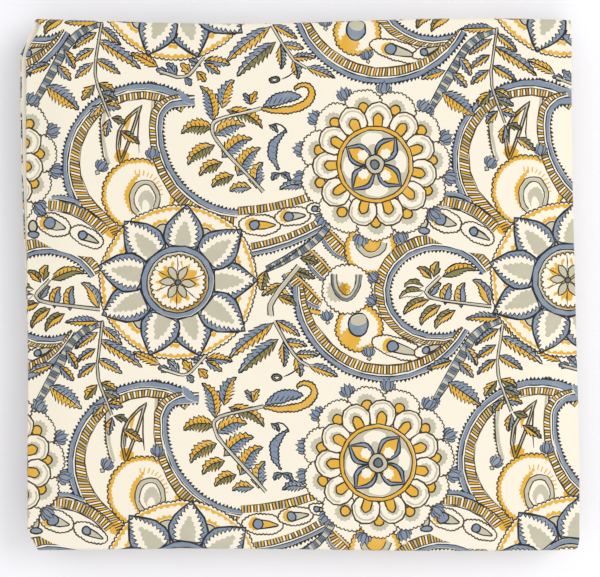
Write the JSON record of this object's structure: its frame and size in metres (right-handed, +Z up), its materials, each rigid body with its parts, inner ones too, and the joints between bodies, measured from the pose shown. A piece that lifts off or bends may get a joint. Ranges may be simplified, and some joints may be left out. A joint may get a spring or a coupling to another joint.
{
  "type": "folded length of block-printed cotton cloth",
  "caption": "Length of hand block-printed cotton, folded in four and then back and forth into a flat square packet.",
  "frame": {"origin": "centre of the packet's footprint, on the surface that it lies on", "axes": "+X across the packet, +Y from its front fold to its back folds, +Z up through the layers"},
  "size_m": [0.282, 0.2684, 0.0267],
  "materials": {
    "printed_cotton": "plain-weave cotton, ivory, block printed with slate blue, mustard, greige and charcoal outlines"
  },
  "bodies": {
    "root": {"folded_cloth": "printed_cotton"}
  },
  "joints": []
}
